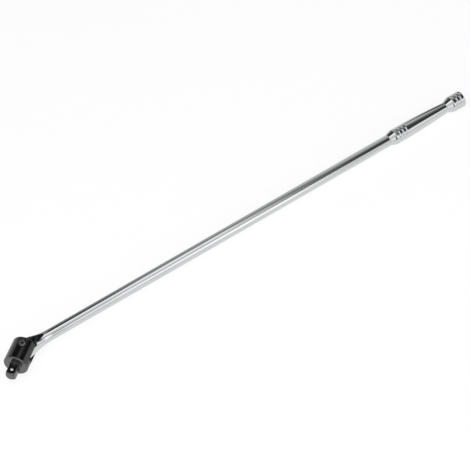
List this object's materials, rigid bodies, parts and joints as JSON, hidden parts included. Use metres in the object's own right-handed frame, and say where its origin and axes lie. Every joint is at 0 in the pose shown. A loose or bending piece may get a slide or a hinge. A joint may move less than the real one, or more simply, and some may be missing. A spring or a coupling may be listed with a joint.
{
  "type": "breaker bar",
  "caption": "Long flex-head breaker bar: chromed round handle with a ringed palm grip, black fork head on a pivot pin, square drive with a sprung detent ball.",
  "frame": {"origin": "centre of the head's end face, where a socket seats and the square drive begins", "axes": "+X along the handle towards the grip, +Z along the pivot pin on the side the detent ball faces; at rest the head is bent 35 degrees from straight towards -Y"},
  "size_m": [0.7567, 0.0486, 0.0336],
  "materials": {
    "chromed_bar": "polished",
    "black_head": "satin black phosphate",
    "pin_steel": "blackened",
    "ball_steel": "polished",
    "spring_steel": "bare wire"
  },
  "bodies": {
    "handle": {"handle_bar": "chromed_bar"},
    "head": {"drive_head": "black_head", "pivot_pin": "pin_steel", "detent_spring": "spring_steel", "friction_ball": "ball_steel", "friction_spring": "spring_steel"},
    "detent": {"detent_ball": "ball_steel"}
  },
  "joints": [
    {"name": "head_swing", "type": "hinge", "parent": "handle", "child": "head", "pos_m": [0.02228, 0.0156, 0], "axis": [0, 0, 1], "range_deg": [-125, 55]},
    {"name": "detent_press", "type": "slide", "parent": "head", "child": "detent", "axis": [0, 0, -1], "range_m": [0, 0.0011], "stiffness_N_per_m": 1500, "springref_m": -0.001, "deforming": ["detent_spring"]}
  ]
}
